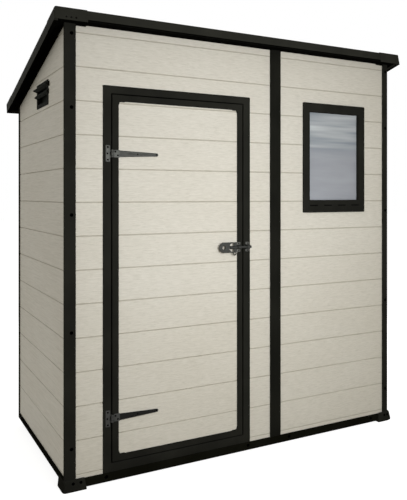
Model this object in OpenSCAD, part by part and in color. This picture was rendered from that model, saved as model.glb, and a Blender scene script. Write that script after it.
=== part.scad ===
// Resin pent shed: a small lean-to roofed store of twin-skin resin panels between dark posts.
// The front faces -Y, +X is to the right of someone facing the door, and the ground is Z = 0.
// The origin is under the middle of the roof's outline. All sizes are millimetres.

/* [Body] */
// Width across the outer faces of the corner posts
body_w = 1740; // [1600:5:1900]
// Depth across the outer faces of the corner posts
body_d = 1004; // [900:2:1200]
// Thickness of a wall panel
wall_t = 20; // [17:1:26]
// Width of a left corner post on the front or rear
left_post_w = 49; // [42:1:60]
// Width of a right corner post on the front or rear
right_post_w = 34; // [30:1:60]
// Width of a corner post on the side
post_side_w = 10; // [8:1:30]
// Radius of a corner post's outer corner
post_round = 2; // [1:0.5:6]
// How far the posts stand proud of the siding
post_proud = 7; // [4:1:12]
// Width of the middle posts' face
mid_post_w = 59.5; // [50:0.5:80]
// How far a middle post's face laps each panel beside it
mid_post_lap = 15; // [8:1:18]
// From the body's left side to the middle post
door_bay_w = 993.5; // [960:0.5:1030]

/* [Base] */
// Length of a foot along each side
foot_w = 98; // [70:1:120]
// Height of a foot's skirt
foot_h = 49; // [35:1:60]
// How far a foot stands out from the front of its post
foot_proud = 11; // [4:1:14]
// How far the left foot stands out from the side of its post
left_foot_out = 6; // [4:1:14]
// How far the right foot stands out from the side of its post
right_foot_out = 28; // [4:1:30]
// Thickness of a foot's sole, which holds the rails off the ground
sole_t = 6; // [4:1:15]
// Height of the front base rail
rail_h = 37; // [24:1:46]
// Height of a side or rear rail, which lies on the floor panel
side_rail_h = 25; // [18:1:40]
// Thickness of a base rail
rail_t = 47; // [46:1:60]
// Thickness of the floor panel
floor_t = 25; // [15:1:30]
// How far the floor panel reaches under a side or rear rail
floor_lap = 15; // [8:1:25]
// Width of a rib under the floor
floor_rib_w = 30; // [15:1:60]
// Number of ribs under the floor
floor_ribs = 6; // [3:1:10]

/* [Siding] */
// Height of one moulded board
board_pitch = 142.9; // [100:0.1:200]
// Height of the lowest groove above the ground
first_groove = 61; // [55:1:90]
// Width of a groove at the face
groove_w = 5; // [3:0.5:10]
// Depth of a groove
groove_depth = 3; // [1:0.5:6]

/* [Roof] */
// Height of the roof's highest corner
roof_h = 2005; // [1900:5:2200]
// Fall of the roof towards the back, in degrees
roof_slope = 13.4; // [8:0.1:18]
// Thickness of the roof's edge trims
edge_t = 41.5; // [30:0.5:60]
// Width of the roof's edge trims, seen from above
edge_w = 16; // [10:1:30]
// Overhang of the front edge
eave_front = 45; // [20:1:90]
// Overhang of the rear edge
eave_rear = 82; // [20:1:110]
// Overhang of each side edge
eave_side = 47; // [20:1:90]
// How far the roof sheet lies below the top of the trims
sheet_drop = 8; // [6:0.5:12]
// Height of a rib on the roof sheet
roof_rib_h = 4; // [2:0.5:5]
// Width of a rib on the roof sheet
roof_rib_w = 30; // [15:1:50]
// Distance between ribs on the roof sheet
roof_rib_pitch = 105; // [60:1:200]
// Width of the strip over the joint of the two roof sheets
strip_w = 40; // [20:1:50]
// Length of a corner cap along each edge
cap_len = 135; // [60:1:200]
// Thickness of a corner cap
cap_t = 1.5; // [1:0.5:6]
// Radius of the roof's corners in plan
corner_r = 4; // [2:1:14]
// Radius of the top edge along each side of the roof
rim_round = 8; // [2:1:14]
// How far the side and rear trims hang below the roof's underside
rim_drop = 12; // [4:1:25]

/* [Door] */
// From the body's left side to the door frame
frame_inset = 164; // [120:1:180]
// Clear width between the jambs
opening_w = 645; // [600:1:660]
// Height of the opening's top above the ground
opening_top = 1674; // [1500:1:1700]
// Height of the threshold's top above the ground
threshold_top = 80; // [60:1:110]
// Width of a jamb
jamb_w = 36; // [28:1:50]
// Height of the door's head
head_h = 33; // [25:1:50]
// How far the frame stands proud of the siding
frame_proud = 3; // [1:0.5:5]
// Thickness of the door panel
leaf_t = 22; // [16:1:26]
// Gap round the door at the hinge side, top and bottom
leaf_gap = 5; // [5:0.5:8]
// Gap beside the door at the latch side
latch_gap = 6; // [6:0.5:8]
// Width of the dark border round the door panel
border_w = 28.5; // [25:0.5:50]
// Length of a corner block in the border
block_len = 28; // [20:1:60]
// Height of a corner block in the border
block_h = 16; // [10:1:40]
// How far a corner block reaches past the border
block_lap = 2.5; // [1:0.5:4]
// How far the door stop reaches into the opening
stop_w = 18; // [14:1:30]
// Thickness of the door stop
stop_t = 12; // [8:1:20]
// Gap between the closed door and its stop
stop_gap = 6; // [5:0.5:8]

/* [Hinges] */
// Height of the upper hinge's middle
hinge_top_z = 1414; // [1200:1:1500]
// Height of the lower hinge's middle
hinge_low_z = 275; // [200:1:400]
// Distance of the hinge pin in front of the door frame
pin_out = 7; // [6.5:0.5:8]
// Radius of a hinge knuckle
knuckle_r = 6; // [5.5:0.25:6.5]
// Radius of a hinge pin
pin_r = 2.5; // [1.5:0.25:3.5]
// Thickness of the hinge plates
plate_t = 3; // [2:0.25:3.5]
// Width of a jamb plate
jamb_plate_w = 20; // [15:1:26]
// Height of a jamb plate
jamb_plate_h = 72; // [50:1:100]
// Height of a hinge's knuckles together
barrel_h = 33; // [25:1:45]
// Height of the middle knuckle
mid_knuckle_h = 15; // [8:1:19]
// Length of a strap from the hinge pin to its tip
strap_len = 210; // [150:1:300]
// Length of a strap's broad end
strap_root = 32; // [20:1:50]
// Height of a strap where its taper starts
strap_h = 29; // [20:1:32]
// Radius of a strap's tip
strap_tip_r = 7; // [4:0.5:8]

/* [Latch] */
// Height of the latch above the ground
latch_z = 987; // [850:1:1200]
// Radius of the bolt's rod
rod_r = 6; // [5:0.5:8]
// Distance of the rod in front of the door frame
rod_out = 12; // [11.5:0.5:16]
// How far the thrown rod reaches past its keep
rod_past = 8.5; // [4:0.5:9]
// Width of the rod's guide
guide_w = 20; // [12:1:24]
// From the guide to the door's edge
guide_edge = 12; // [3:0.5:12]
// Height of the guide and of the keep
guide_h = 46; // [36:1:60]
// Width of the keep on the jamb
keep_w = 17; // [10:1:20]
// From the keep to the jamb's outer edge
keep_edge = 9; // [3:0.5:12]
// Thickness of metal round the rod
bow_t = 3; // [2:0.5:4]
// Length of the pull plate
pull_len = 91; // [78:1:120]
// Height of the pull plate
pull_h = 49; // [36:1:60]
// Thickness of the pull plate
pull_t = 4; // [3:0.5:5]
// Width of the pull plate's rim beside its two openings
pull_rim = 4.5; // [4:0.5:8]
// Length of the openings in the pull plate
slot_len = 25; // [16:1:26]
// How far the rod runs along the pull plate
rod_root = 34; // [28:1:40]
// Radius of the finger hole in the pull plate
finger_r = 8; // [4:0.5:9]
// Outer radius of the padlock eye
eye_r = 9.5; // [7:0.5:12]
// Radius of the padlock eye's hole
eye_hole_r = 5; // [3:0.5:5]

/* [Window] */
// From the middle post to the window frame
window_inset = 134; // [100:1:150]
// Width of the window frame
window_w = 392; // [300:1:400]
// Height of the window frame
window_h = 561; // [400:1:600]
// Width of the window frame's sides
window_side = 39.5; // [30:0.5:60]
// Width of the window frame's top
window_head = 46.5; // [30:0.5:60]
// Width of the window frame's bottom
window_sill = 64; // [40:1:80]
// How far the window frame stands proud of the siding
window_proud = 9; // [6:1:15]
// How far the frame laps the siding round its hole
window_lap = 16; // [8:1:20]
// Thickness of the pane
pane_t = 4; // [3:0.5:6]
// How far the pane lies behind the frame's face
pane_set = 21; // [12:1:23]
// How deep the pane sits in the frame
pane_grip = 6; // [3:0.5:8]

/* [Vents] */
// From the front posts' face to a vent
vent_inset = 293; // [120:1:500]
// Length of a vent's first louvre
vent_w = 276; // [180:1:300]
// How much further in each lower louvre, and last the rim, starts and ends
vent_step = 10; // [5:1:14]
// Height of a vent
vent_h = 114; // [100:1:150]
// From the soffit down to a vent's top, at the vent's rear end
vent_drop = 54; // [40:1:150]
// Thickness of a vent's rim on the siding
vent_rim_t = 4; // [3:0.5:8]
// Width of a vent's rim
vent_rim_w = 14; // [12:1:20]
// Thickness of a vent's lining through the wall
vent_lining_t = 4; // [2:0.5:6]
// Thickness of the insect screen at a vent's back
vent_screen_t = 2; // [1:0.5:4]
// Number of louvres in a vent
louvres = 2; // [1:1:3]
// Distance between louvres
louvre_pitch = 34; // [28:1:36]
// From the vent's top to its first louvre
louvre_head = 8; // [4:1:12]
// Height of a louvre where it meets the rim
louvre_h = 24; // [15:1:26]
// How far a louvre's lip lies below its top
louvre_fall = 15; // [5:1:20]
// How far the first louvre's lip stands out from the siding
louvre_reach = 18; // [16:1:24]
// How much less the next louvre's lip stands out
louvre_less = 5; // [0:1:5]
// Thickness of a louvre's lip
louvre_t = 3; // [2:0.5:5]

/* [Hidden] */

$fn = 48;
over = 1; // what a cutting shape runs past the face it cuts
pin_play = 0.08; // radial room of a hinge pin in its knuckle
knuckle_gap = 1; // between neighbouring knuckles
plate_clear = 2; // between a hinge's plates and the knuckles beside them
guide_play = 0.4; // radial room of the rod in its guide
roof_seat = 0.02; // between the walls' tops and the roof, whose slope has no round numbers
keep_play = 1.2; // radial room of the rod in its keep
part_clear = 6; // between the pull plate and the guide
slot_clear = 1; // between the rod and the openings beside it

// Outer faces of the posts, faces of the siding and inner faces of the walls
left_x = -body_w / 2;
right_x = body_w / 2;
front_y = eave_front - (body_d + eave_front + eave_rear) / 2;
rear_y = front_y + body_d;
core = post_proud + wall_t; // from a post's outer face to the inner face of the wall
face_y = front_y + post_proud;
frame_y = face_y - frame_proud;

rail_top = sole_t + rail_h;
side_rail_z = sole_t + floor_t;
side_rail_top = side_rail_z + side_rail_h;
mid_x = left_x + door_bay_w;
mid_core_x = mid_x + mid_post_lap;
mid_core_w = mid_post_w - 2 * mid_post_lap;

// The roof's underside is a plane that falls from the front edge
roof_depth = body_d + eave_front + eave_rear;
roof_w = body_w + 2 * eave_side;
eave_y = front_y - eave_front;
eave_z = roof_h - (edge_t + cap_t) * cos(roof_slope) - cap_t * sin(roof_slope);
roof_len = (roof_depth - edge_t * sin(roof_slope)) / cos(roof_slope);
sheet_t = edge_t - sheet_drop;

jamb_x = left_x + frame_inset;
opening_x = jamb_x + jamb_w;
opening_end = opening_x + opening_w;
frame_end = opening_end + jamb_w;
frame_top = opening_top + head_h;
leaf_back = face_y + leaf_t;
stop_y = leaf_back + stop_gap;
leaf_x = opening_x + leaf_gap;
leaf_w = opening_w - leaf_gap - latch_gap;
leaf_end = leaf_x + leaf_w;
leaf_z = threshold_top + leaf_gap;
leaf_h = opening_top - leaf_gap - leaf_z;

pin_x = opening_x + leaf_gap / 2;
pin_y = frame_y - pin_out;
rod_y = frame_y - rod_out;
guide_x = leaf_end - guide_edge - guide_w;
pull_end = guide_x - part_clear;
pull_x = pull_end - pull_len;
keep_x = frame_end - keep_edge - keep_w;
rod_end = keep_x + keep_w + rod_past;

// The window's head lines up with the door's
window_x = mid_x + mid_post_w + window_inset;
window_z = frame_top - window_h;

function soffit_z(y) = eave_z - (y - eave_y) * tan(roof_slope);
vent_y = front_y + vent_inset;
vent_z = soffit_z(vent_y + vent_w) - vent_drop - vent_h;
rim_y = vent_y + louvres * vent_step;
rim_w = vent_w - 2 * louvres * vent_step;
function groove_heights(low, high) = [
    for (z = [first_groove : board_pitch : roof_h])
        if (z > low + groove_w && z < high - groove_w) z
];

// Everything below the roof's underside
module below_soffit() {
    low_y = front_y - eave_front;
    high_y = rear_y + eave_rear;
    outline = [[low_y, -over], [high_y, -over], [high_y, soffit_z(high_y) - roof_seat],
               [low_y, soffit_z(low_y) - roof_seat]];
    translate([-roof_w / 2, 0, 0])
        rotate([90, 0, 90])
            linear_extrude(roof_w)
                polygon(outline);
}

// A wall panel facing -Y with its outer face on Y = 0, its boards parted by V grooves
module siding(length, low, high) {
    outer = [
        for (z = groove_heights(low, high))
            for (p = [[0, z - groove_w / 2], [groove_depth, z], [0, z + groove_w / 2]]) p
    ];
    rotate([90, 0, 90])
        linear_extrude(length)
            polygon(concat([[wall_t, high], [wall_t, low], [0, low]], outer, [[0, high]]));
}

// A plan square from the origin with its corner there rounded
module rounded_corner(size, r) {
    translate([r, 0])
        square([size - r, size]);
    translate([0, r])
        square([size, size - r]);
    translate([r, r])
        circle(r);
}

// Puts a shape made for the front left corner at each of the four corners
module at_corner(side, end) {
    translate([side < 0 ? left_x : right_x, end < 0 ? front_y : rear_y, 0])
        mirror([side < 0 ? 0 : 1, 0, 0])
            mirror([0, end < 0 ? 0 : 1, 0])
                children();
}

// A foot for a front corner: a sole with a skirt round the corner's two outer sides
module front_foot(out) {
    difference() {
        translate([-out, -foot_proud, 0])
            linear_extrude(foot_h)
                rounded_corner(foot_w, foot_proud + post_round);
        translate([0, 0, sole_t])
            cube([foot_w, foot_w, foot_h]);
    }
}

module corner_feet() {
    color("#252521")
        for (side = [-1, 1])
            at_corner(side, -1)
                front_foot(side < 0 ? left_foot_out : right_foot_out);
}

module front_rail() {
    color("#252521")
        translate([left_x, front_y, sole_t])
            cube([body_w, rail_t, rail_h]);
}

module rear_rail() {
    color("#252521")
        translate([left_x, rear_y - rail_t, side_rail_z])
            cube([body_w, rail_t, side_rail_h]);
}

// The left rail lies on the floor between the long rails, with a sill over the front one under the wall
module left_rail() {
    sill_h = side_rail_top - rail_top;
    color("#252521") {
        translate([left_x, front_y + rail_t, side_rail_z])
            cube([rail_t, body_d - 2 * rail_t, side_rail_h]);
        translate([left_x + post_proud, face_y, rail_top])
            cube([wall_t, rail_t - post_proud + over, sill_h]);
        translate([left_x, front_y + post_side_w, rail_top])
            cube([core, rail_t - post_side_w + over, sill_h]);
    }
}

// The floor between the rails, with ribs down to the ground that carry the shed behind its front feet
module floor_panel() {
    floor_x = left_x + rail_t - floor_lap;
    floor_w = -2 * floor_x;
    floor_d = body_d - 2 * rail_t + floor_lap;
    rib_step = (floor_w - 2 * foot_w - floor_rib_w) / (floor_ribs - 1);
    color("#4a4a46") {
        translate([floor_x, front_y + rail_t, sole_t])
            cube([floor_w, floor_d, floor_t]);
        for (i = [0 : floor_ribs - 1])
            translate([floor_x + foot_w + i * rib_step, front_y + rail_t, 0])
                cube([floor_rib_w, floor_d, sole_t + over]);
    }
}

// A post that wraps a corner: a broad leg on the front or rear siding and a narrow one on the side
module corner_post(side, end) {
    post_w = side < 0 ? left_post_w : right_post_w;
    color("#252521")
        intersection() {
            at_corner(side, end)
                translate([0, 0, end < 0 ? rail_top : side_rail_top])
                    linear_extrude(roof_h)
                        difference() {
                            rounded_corner(post_w, post_round);
                            translate([post_proud, post_proud])
                                square(post_w);
                            translate([-over, post_side_w])
                                square(post_w);
                        }
            below_soffit();
        }
}

// A post between two panels: a lapping face with a core behind it
module middle_post(end) {
    color("#252521")
        intersection() {
            translate([0, end < 0 ? front_y : rear_y, end < 0 ? rail_top : side_rail_top])
                mirror([0, end < 0 ? 0 : 1, 0])
                    linear_extrude(roof_h) {
                        translate([mid_x, 0])
                            square([mid_post_w, post_proud]);
                        translate([mid_core_x, 0])
                            square([mid_core_w, core]);
                    }
            below_soffit();
        }
}

module front_siding(x, end, low = rail_top, high = roof_h) {
    color("#d6d2c6")
        intersection() {
            translate([x, face_y, 0])
                siding(end - x, low, high);
            below_soffit();
        }
}

module rear_siding(x, end) {
    color("#d6d2c6")
        intersection() {
            translate([end, rear_y - post_proud, 0])
                rotate(180)
                    siding(end - x, side_rail_top, roof_h);
            below_soffit();
        }
}

module window_wall() {
    color("#d6d2c6")
        difference() {
            front_siding(mid_core_x + mid_core_w, right_x - core);
            translate([window_x + window_lap, face_y - over, window_z + window_lap])
                cube([window_w - 2 * window_lap, wall_t + 2 * over, window_h - 2 * window_lap]);
        }
}

// The left wall, which runs the full depth between the corner posts; the right one is its mirror image
module left_side_wall() {
    color("#9e988c")
        difference() {
            intersection() {
                translate([left_x + post_proud, rear_y - post_proud, 0])
                    rotate(-90)
                        siding(body_d - 2 * post_proud, side_rail_top, roof_h);
                below_soffit();
            }
            translate([left_x + post_proud - over, rim_y + vent_rim_w, vent_z + vent_rim_w])
                cube([wall_t + 2 * over, rim_w - 2 * vent_rim_w, vent_h - 2 * vent_rim_w]);
        }
}

// A louvre seen from its end: a wedge from the siding out to its lip
module louvre(reach) {
    polygon([[0, 0], [0, -louvre_h], [-reach, -louvre_fall - louvre_t / 2],
             [-reach, -louvre_fall + louvre_t / 2]]);
}

// A vent for the left wall: a rim on the siding, a lining through the wall that ends in a screen,
// and louvres across it that grow shorter downwards
module left_side_vent() {
    face_x = left_x + post_proud;
    hole = [rim_w - 2 * vent_rim_w, vent_h - 2 * vent_rim_w];
    inside = [hole[0] - 2 * vent_lining_t, hole[1] - 2 * vent_lining_t];
    color("#1d1d1a") {
        translate([face_x, rim_y, vent_z])
            difference() {
                union() {
                    translate([-vent_rim_t, 0, 0])
                        cube([vent_rim_t, rim_w, vent_h]);
                    translate([-vent_rim_t, vent_rim_w, vent_rim_w])
                        cube([vent_rim_t + wall_t, hole[0], hole[1]]);
                }
                translate([-vent_rim_t - over, vent_rim_w + vent_lining_t, vent_rim_w + vent_lining_t])
                    cube([vent_rim_t + wall_t + over - vent_screen_t, inside[0], inside[1]]);
            }
        for (i = [0 : louvres - 1])
            translate([face_x, vent_y + vent_w - i * vent_step,
                       vent_z + vent_h - louvre_head - i * louvre_pitch])
                rotate([90, 0, 0])
                    linear_extrude(vent_w - 2 * i * vent_step)
                        louvre(louvre_reach - i * louvre_less);
    }
}

// Places a shape made in the roof's own plane: X across, Y down the slope, Z up from the underside
module on_roof() {
    translate([0, eave_y, eave_z])
        rotate([-roof_slope, 0, 0])
            children();
}

// One half of the ribbed roof, left of the middle; the right half is its mirror image
module roof_sheet() {
    half = roof_w / 2 - edge_w;
    sheet_len = roof_len - 2 * edge_w;
    color("#2a2a27")
        on_roof() {
            translate([-half, edge_w, 0])
                cube([half, sheet_len, sheet_t]);
            for (x = [strip_w / 2 + roof_rib_pitch / 2 : roof_rib_pitch : half - cap_len / 2])
                translate([-x - roof_rib_w / 2, 2 * edge_w, sheet_t - over])
                    cube([roof_rib_w, sheet_len - 2 * edge_w, roof_rib_h + over]);
        }
}

module roof_joint_strip() {
    color("#252521")
        on_roof()
            translate([-strip_w / 2, edge_w, sheet_t])
                cube([strip_w, roof_len - 2 * edge_w, roof_rib_h]);
}

// What lies inside a side edge of the roof, from the origin inwards, with its top outer edge rounded.
// It can grow outwards from the trims, as the caps do.
module rim_block(length, width, grow) {
    translate([-grow, -cap_t - over, edge_t + grow])
        rotate([-90, 0, 0])
            linear_extrude(length + 2 * (cap_t + over))
                rounded_corner(width + grow, rim_round + grow);
}

// Half of a trim along the front or rear edge, with its outer corner rounded in plan
module half_eave_trim(drop) {
    intersection() {
        translate([0, 0, -drop])
            linear_extrude(edge_t + drop)
                intersection() {
                    rounded_corner(roof_w / 2 + over, corner_r);
                    square([roof_w / 2 + over, edge_w]);
                }
        rim_block(edge_w, roof_w / 2 + over, 0);
    }
}

module eave_trim(end, drop) {
    color("#252521")
        on_roof()
            translate([0, end < 0 ? 0 : roof_len, 0])
                mirror([0, end < 0 ? 0 : 1, 0])
                    for (side = [0, 1])
                        mirror([side, 0, 0])
                            translate([-roof_w / 2, 0, 0])
                                half_eave_trim(drop);
}

// The left trim; the right one is its mirror image
module left_side_trim() {
    color("#252521")
        on_roof()
            translate([-roof_w / 2, 0, 0])
                intersection() {
                    translate([0, edge_w, -rim_drop])
                        cube([edge_w, roof_len - 2 * edge_w, edge_t + rim_drop]);
                    rim_block(roof_len, edge_t + 2 * rim_drop, 0);
                }
}

// A cap round a roof corner: an outer skin and a lip on top of the trims
module corner_cap() {
    difference() {
        intersection() {
            translate([-cap_t, -cap_t, -rim_drop])
                linear_extrude(edge_t + rim_drop + cap_t)
                    rounded_corner(cap_len, corner_r + cap_t);
            rim_block(cap_len, cap_len, cap_t);
        }
        intersection() {
            translate([0, 0, -rim_drop - over])
                linear_extrude(edge_t + rim_drop + over)
                    rounded_corner(cap_len, corner_r);
            rim_block(cap_len, cap_len, 0);
        }
        translate([edge_w, edge_w, -rim_drop - over])
            cube([cap_len, cap_len, edge_t + rim_drop + cap_t + 2 * over]);
    }
}

module roof_corner_caps() {
    color("#252521")
        on_roof()
            for (side = [0, 1])
                for (end = [0, 1])
                    translate([(side - 0.5) * roof_w, end * roof_len, 0])
                        mirror([side, 0, 0])
                            mirror([0, end, 0])
                                corner_cap();
}

// A jamb with its door stop, standing on the rail; the stop points to +X
module jamb() {
    depth = stop_y + stop_t - frame_y;
    translate([0, 0, rail_top]) {
        cube([jamb_w, depth, frame_top - rail_top]);
        translate([0, depth - stop_t, 0])
            cube([jamb_w + stop_w, stop_t, frame_top - rail_top]);
    }
}

module hinge_jamb() {
    color("#252521")
        translate([jamb_x, frame_y, 0])
            jamb();
}

module latch_jamb() {
    color("#252521")
        translate([frame_end, frame_y, 0])
            mirror([1, 0, 0])
                jamb();
}

// The head and the threshold fit between the jambs and their stops
module door_head() {
    color("#252521") {
        translate([opening_x, frame_y, opening_top])
            cube([opening_w, stop_y - frame_y, head_h]);
        translate([opening_x + stop_w, stop_y - over, opening_top - stop_w])
            cube([opening_w - 2 * stop_w, stop_t + over, head_h + stop_w]);
    }
}

module door_threshold() {
    color("#252521") {
        translate([opening_x, frame_y, rail_top])
            cube([opening_w, stop_y - frame_y, threshold_top - rail_top]);
        translate([opening_x + stop_w, stop_y - over, rail_top])
            cube([opening_w - 2 * stop_w, stop_t + over, threshold_top - rail_top + stop_w]);
    }
}

module window_frame() {
    pane_w = window_w - 2 * window_side;
    pane_h = window_h - window_head - window_sill;
    color("#1d1d1a")
        translate([window_x, face_y - window_proud, window_z])
            difference() {
                union() {
                    cube([window_w, window_proud, window_h]);
                    translate([window_lap, 0, window_lap])
                        cube([window_w - 2 * window_lap, window_proud + wall_t, window_h - 2 * window_lap]);
                }
                translate([window_side, -over, window_sill])
                    cube([pane_w, window_proud + wall_t + 2 * over, pane_h]);
                translate([window_side - pane_grip, pane_set, window_sill - pane_grip])
                    cube([pane_w + 2 * pane_grip, pane_t, pane_h + 2 * pane_grip]);
            }
}

module window_pane() {
    color("#a9abb0", 0.6)
        translate([window_x + window_side - pane_grip, face_y - window_proud + pane_set,
                   window_z + window_sill - pane_grip])
            cube([window_w - 2 * (window_side - pane_grip), pane_t,
                  window_h - window_head - window_sill + 2 * pane_grip]);
}

// The fixed leaf of a strap hinge: a plate on the jamb, the outer knuckles and the pin
module jamb_plate(z) {
    outer_h = (barrel_h - mid_knuckle_h) / 2 - knuckle_gap;
    edge = -knuckle_r - plate_clear;
    color("#5f605b")
        translate([pin_x, pin_y, z]) {
            translate([edge - jamb_plate_w, pin_out - plate_t, -jamb_plate_h / 2])
                cube([jamb_plate_w, plate_t, jamb_plate_h]);
            for (low = [-barrel_h / 2, barrel_h / 2 - outer_h]) {
                translate([0, 0, low])
                    cylinder(h = outer_h, r = knuckle_r);
                translate([edge - over, pin_out - plate_t, low])
                    cube([over - edge - leaf_gap / 2, plate_t, outer_h]);
            }
            translate([0, 0, -barrel_h / 2])
                cylinder(h = barrel_h, r = pin_r);
        }
}

// The moving leaf: the middle knuckle with its neck, a broad end and a strap that tapers to its tip
module hinge_strap(z) {
    root_x = knuckle_r + plate_clear;
    tip_x = strap_len - strap_tip_r;
    taper_x = leaf_gap / 2 + strap_root - over;
    color("#5f605b")
        translate([pin_x, pin_y, z])
            difference() {
                union() {
                    translate([0, 0, -mid_knuckle_h / 2])
                        cylinder(h = mid_knuckle_h, r = knuckle_r);
                    translate([leaf_gap / 2, pin_out - plate_t, -mid_knuckle_h / 2])
                        cube([root_x, plate_t, mid_knuckle_h]);
                    translate([root_x, pin_out - plate_t, -barrel_h / 2])
                        cube([leaf_gap / 2 + strap_root - root_x, plate_t, barrel_h]);
                    translate([0, pin_out, 0])
                        rotate([90, 0, 0])
                            linear_extrude(plate_t) {
                                polygon([[taper_x, -strap_h / 2], [tip_x, -strap_tip_r],
                                         [tip_x, strap_tip_r], [taper_x, strap_h / 2]]);
                                translate([tip_x, 0])
                                    circle(strap_tip_r);
                            }
                }
                translate([0, 0, -mid_knuckle_h / 2 - over])
                    cylinder(h = mid_knuckle_h + 2 * over, r = pin_r + pin_play);
            }
}

// The door's panel: boards between two plain ends that carry the border
module door_panel() {
    high = leaf_z + leaf_h;
    outer = [
        for (z = groove_heights(leaf_z + border_w, high - border_w))
            for (p = [[0, z - groove_w / 2], [groove_depth, z], [0, z + groove_w / 2]]) p
    ];
    color("#d6d2c6")
        translate([leaf_x, face_y, 0])
            rotate([90, 0, 90])
                linear_extrude(leaf_w)
                    polygon(concat([[leaf_t, high], [leaf_t, leaf_z], [0, leaf_z]], outer, [[0, high]]));
}

// A block that narrows the border's inner corner at the origin
module border_block() {
    polygon([[-over, -over], [block_len, -over], [block_len, 0], [block_len - block_lap, block_lap],
             [2 * block_lap, block_lap], [0, block_h], [-over, block_h]]);
}

// The dark border on the door panel's face, with a block in each inner corner
module door_border() {
    field = [leaf_w - 2 * border_w, leaf_h - 2 * border_w];
    color("#252521")
        translate([leaf_x, face_y, leaf_z])
            rotate([90, 0, 0])
                linear_extrude(frame_proud)
                    difference() {
                        square([leaf_w, leaf_h]);
                        translate([border_w, border_w])
                            difference() {
                                square(field);
                                for (side = [0, 1])
                                    for (end = [0, 1])
                                        translate([side * field[0], end * field[1]])
                                            mirror([side, 0])
                                                mirror([0, end])
                                                    border_block();
                            }
                    }
}

// A plate on the frame with a bow round the rod, which runs through it along X
module rod_holder(x, width, play) {
    translate([x, rod_y, latch_z])
        difference() {
            union() {
                translate([0, rod_out - plate_t, -guide_h / 2])
                    cube([width, plate_t, guide_h]);
                rotate([0, 90, 0])
                    cylinder(h = width, r = rod_r + play + bow_t);
                translate([0, 0, -rod_r - play - bow_t])
                    cube([width, rod_out - over, 2 * (rod_r + play + bow_t)]);
            }
            translate([-over, 0, 0])
                rotate([0, 90, 0])
                    cylinder(h = width + 2 * over, r = rod_r + play);
        }
}

module bolt_guide() {
    color("#5f605b")
        rod_holder(guide_x, guide_w, guide_play);
}

module latch_keep() {
    color("#5f605b")
        rod_holder(keep_x, keep_w, keep_play);
}

// An opening in the pull plate beside the rod, with one slanting end
module pull_slot() {
    low = rod_r + slot_clear;
    high = pull_h / 2 - pull_rim;
    start = pull_len - 2 * eye_r + pull_rim - slot_len;
    polygon([[start, low], [start + slot_len / 2, high], [start + slot_len, high], [start + slot_len, low]]);
}

// The bolt: a rod with a flat pull plate, which has a finger hole, two openings and a padlock eye
module slide_bolt() {
    eye = [pull_len - eye_r, -pull_h / 2 - eye_r / 2];
    color("#4b4b47")
        translate([0, rod_y, latch_z]) {
            translate([pull_end - rod_root, 0, 0])
                rotate([0, 90, 0])
                    cylinder(h = rod_end - pull_end + rod_root, r = rod_r);
            translate([pull_x, pull_t / 2, 0])
                rotate([90, 0, 0])
                    linear_extrude(pull_t)
                        difference() {
                            union() {
                                translate([pull_h / 2, 0])
                                    circle(pull_h / 2);
                                translate([pull_h / 2, -pull_h / 2])
                                    square([pull_len - pull_h / 2, pull_h]);
                                translate(eye)
                                    circle(eye_r);
                            }
                            translate([pull_h / 2, 0])
                                circle(finger_r);
                            pull_slot();
                            mirror([0, 1])
                                pull_slot();
                            translate(eye)
                                circle(eye_hole_r);
                        }
        }
}

corner_feet();
front_rail();  // front_base_rail
rear_rail();  // rear_base_rail
left_rail();  // left_base_rail
mirror([1, 0, 0]) left_rail();  // right_base_rail
floor_panel();
corner_post(-1, -1);  // front_left_post
corner_post(1, -1);  // front_right_post
corner_post(-1, 1);  // rear_left_post
corner_post(1, 1);  // rear_right_post
middle_post(-1);  // front_middle_post
middle_post(1);  // rear_middle_post
front_siding(left_x + core, jamb_x);  // wall_left_of_door
front_siding(jamb_x, frame_end, frame_top);  // wall_over_door
front_siding(frame_end, mid_core_x);  // wall_right_of_door
window_wall();
left_side_wall();  // left_wall
mirror([1, 0, 0]) left_side_wall();  // right_wall
rear_siding(left_x + core, mid_core_x);  // rear_wall_left
rear_siding(mid_core_x + mid_core_w, right_x - core);  // rear_wall_right
left_side_vent();  // left_vent
mirror([1, 0, 0]) left_side_vent();  // right_vent
roof_sheet();  // roof_sheet_left
mirror([1, 0, 0]) roof_sheet();  // roof_sheet_right
roof_joint_strip();
eave_trim(-1, 0);  // front_roof_trim
eave_trim(1, rim_drop);  // rear_roof_trim
left_side_trim();  // left_roof_trim
mirror([1, 0, 0]) left_side_trim();  // right_roof_trim
roof_corner_caps();
hinge_jamb();
latch_jamb();
door_head();
door_threshold();
window_frame();
window_pane();
jamb_plate(hinge_top_z);  // upper_jamb_plate
jamb_plate(hinge_low_z);  // lower_jamb_plate
latch_keep();
door_panel();
door_border();
hinge_strap(hinge_top_z);  // upper_hinge_strap
hinge_strap(hinge_low_z);  // lower_hinge_strap
bolt_guide();
slide_bolt();
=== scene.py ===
"""The looks of a resin pent shed: finishes, rounded mouldings, ironmongery, fixings and studio.

Every place is worked out from the frame, in metres. X runs along the front to the right, the front
faces -Y, and Z is up. A surface is an array of points worked out with numpy and the faces between them.
"""
import math

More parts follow.
